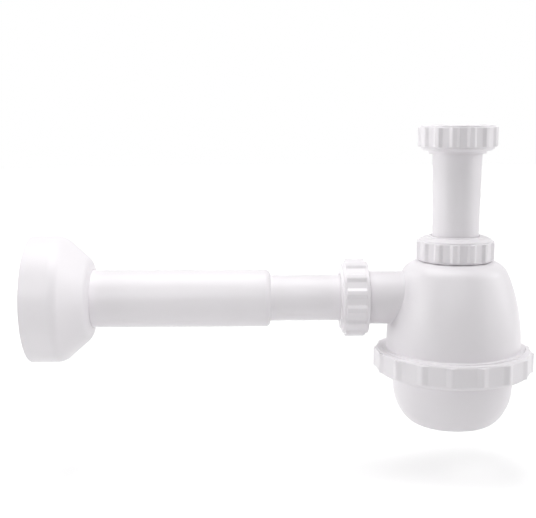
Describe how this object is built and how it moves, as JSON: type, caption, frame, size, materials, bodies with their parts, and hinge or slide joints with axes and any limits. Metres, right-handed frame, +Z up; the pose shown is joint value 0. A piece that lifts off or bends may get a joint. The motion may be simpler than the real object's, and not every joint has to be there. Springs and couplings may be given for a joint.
{
  "type": "plumbing trap",
  "caption": "Washbasin bottle trap: inlet tube with union nut, bell-shaped body, screw-off cup, and a stepped outlet pipe with a wall flange.",
  "frame": {"origin": "centre of the inlet's joint face, where the basin waste's tail meets the flat washer inside the top nut", "axes": "+Z up the bottle's axis towards the basin, -X along the outlet towards the wall, +Y to the back of the view in the picture"},
  "size_m": [0.3546, 0.1101, 0.2078],
  "materials": {
    "white_plastic": "moulded white polypropylene, glossy",
    "ring_plastic": "natural polyethylene, waxy",
    "seal_rubber": "dark seal rubber, matt"
  },
  "bodies": {
    "inlet": {"inlet_tube": "white_plastic", "top_washer": "seal_rubber"},
    "union": {"top_nut": "white_plastic"},
    "neck_cone": {"neck_seal": "seal_rubber"},
    "trap": {"trap_body": "white_plastic", "outlet_seal": "seal_rubber"},
    "neck_ring": {"neck_slip_ring": "ring_plastic"},
    "neck_union": {"neck_nut": "white_plastic"},
    "sump": {"cup": "white_plastic", "cup_gasket": "seal_rubber"},
    "sump_ring": {"ring_nut": "white_plastic"},
    "outlet_ring": {"outlet_slip_ring": "ring_plastic"},
    "outlet_union": {"outlet_nut": "white_plastic"},
    "outlet": {"outlet_pipe": "white_plastic"},
    "rosette": {"wall_flange": "white_plastic"}
  },
  "joints": [
    {"name": "top_nut_turn", "type": "hinge", "parent": "inlet", "child": "union", "pos_m": [0, 0, 0], "axis": [0, 0, 1], "continuous": true},
    {"name": "height_slide", "type": "slide", "parent": "inlet", "child": "neck_cone", "axis": [0, 0, 1], "range_m": [-0.025, 0.012]},
    {"name": "body_swivel", "type": "hinge", "parent": "neck_cone", "child": "trap", "pos_m": [0, 0, -0.1095], "axis": [0, 0, 1], "continuous": true},
    {"name": "neck_ring_lift", "type": "slide", "parent": "trap", "child": "neck_ring", "axis": [0, 0, 1], "range_m": [0, 0.01039]},
    {"name": "neck_nut_turn", "type": "hinge", "parent": "neck_ring", "child": "neck_union", "pos_m": [0, 0, -0.0745], "axis": [0, 0, 1], "range_deg": [0, 1620]},
    {"name": "cup_drop", "type": "slide", "parent": "trap", "child": "sump", "axis": [0, 0, -1], "range_m": [0, 0.01]},
    {"name": "ring_nut_turn", "type": "hinge", "parent": "sump", "child": "sump_ring", "pos_m": [0, 0, -0.1545], "axis": [0, 0, -1], "range_deg": [0, 720]},
    {"name": "outlet_ring_back", "type": "slide", "parent": "trap", "child": "outlet_ring", "axis": [-1, 0, 0], "range_m": [0, 0.01039]},
    {"name": "outlet_nut_turn", "type": "hinge", "parent": "outlet_ring", "child": "outlet_union", "pos_m": [-0.07, 0, -0.1095], "axis": [-1, 0, 0], "range_deg": [0, 1620]},
    {"name": "pipe_slide", "type": "slide", "parent": "trap", "child": "outlet", "axis": [1, 0, 0], "range_m": [-0.012, 0.02]},
    {"name": "flange_slide", "type": "slide", "parent": "outlet", "child": "rosette", "axis": [1, 0, 0], "range_m": [0, 0.1]}
  ],
  "couplings": [
    {"joint": "neck_ring_lift", "follows": "neck_nut_turn", "m_per_rad": 0.00036749},
    {"joint": "cup_drop", "follows": "ring_nut_turn", "m_per_rad": 0.00079577},
    {"joint": "outlet_ring_back", "follows": "outlet_nut_turn", "m_per_rad": 0.00036749}
  ]
}
